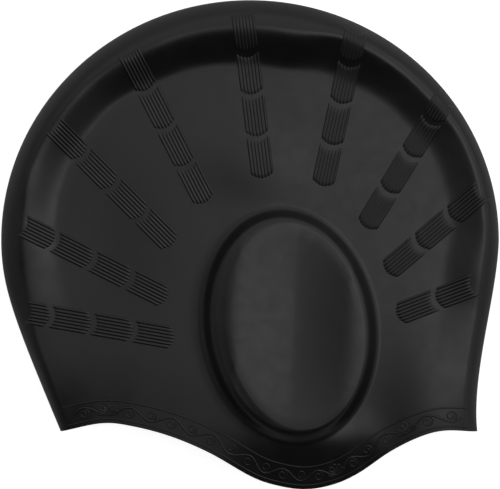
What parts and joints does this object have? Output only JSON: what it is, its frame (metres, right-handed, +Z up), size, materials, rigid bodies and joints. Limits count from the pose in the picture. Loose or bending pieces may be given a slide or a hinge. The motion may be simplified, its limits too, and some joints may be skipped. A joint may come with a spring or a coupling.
{
  "type": "swim cap",
  "caption": "Moulded silicone swim cap with a domed ear pocket on each side and ribbed grip pads, empty and lying on its side.",
  "frame": {"origin": "middle of the cap's length and height, on the surface that it lies on", "axes": "+X from the forehead edge to the nape edge, +Y from the hem to the crown, +Z up out of the upper side"},
  "size_m": [0.2239, 0.22, 0.0316],
  "materials": {
    "silicone": "satin moulded silicone"
  },
  "bodies": {
    "root": {"cap_shell": "silicone"}
  },
  "joints": []
}
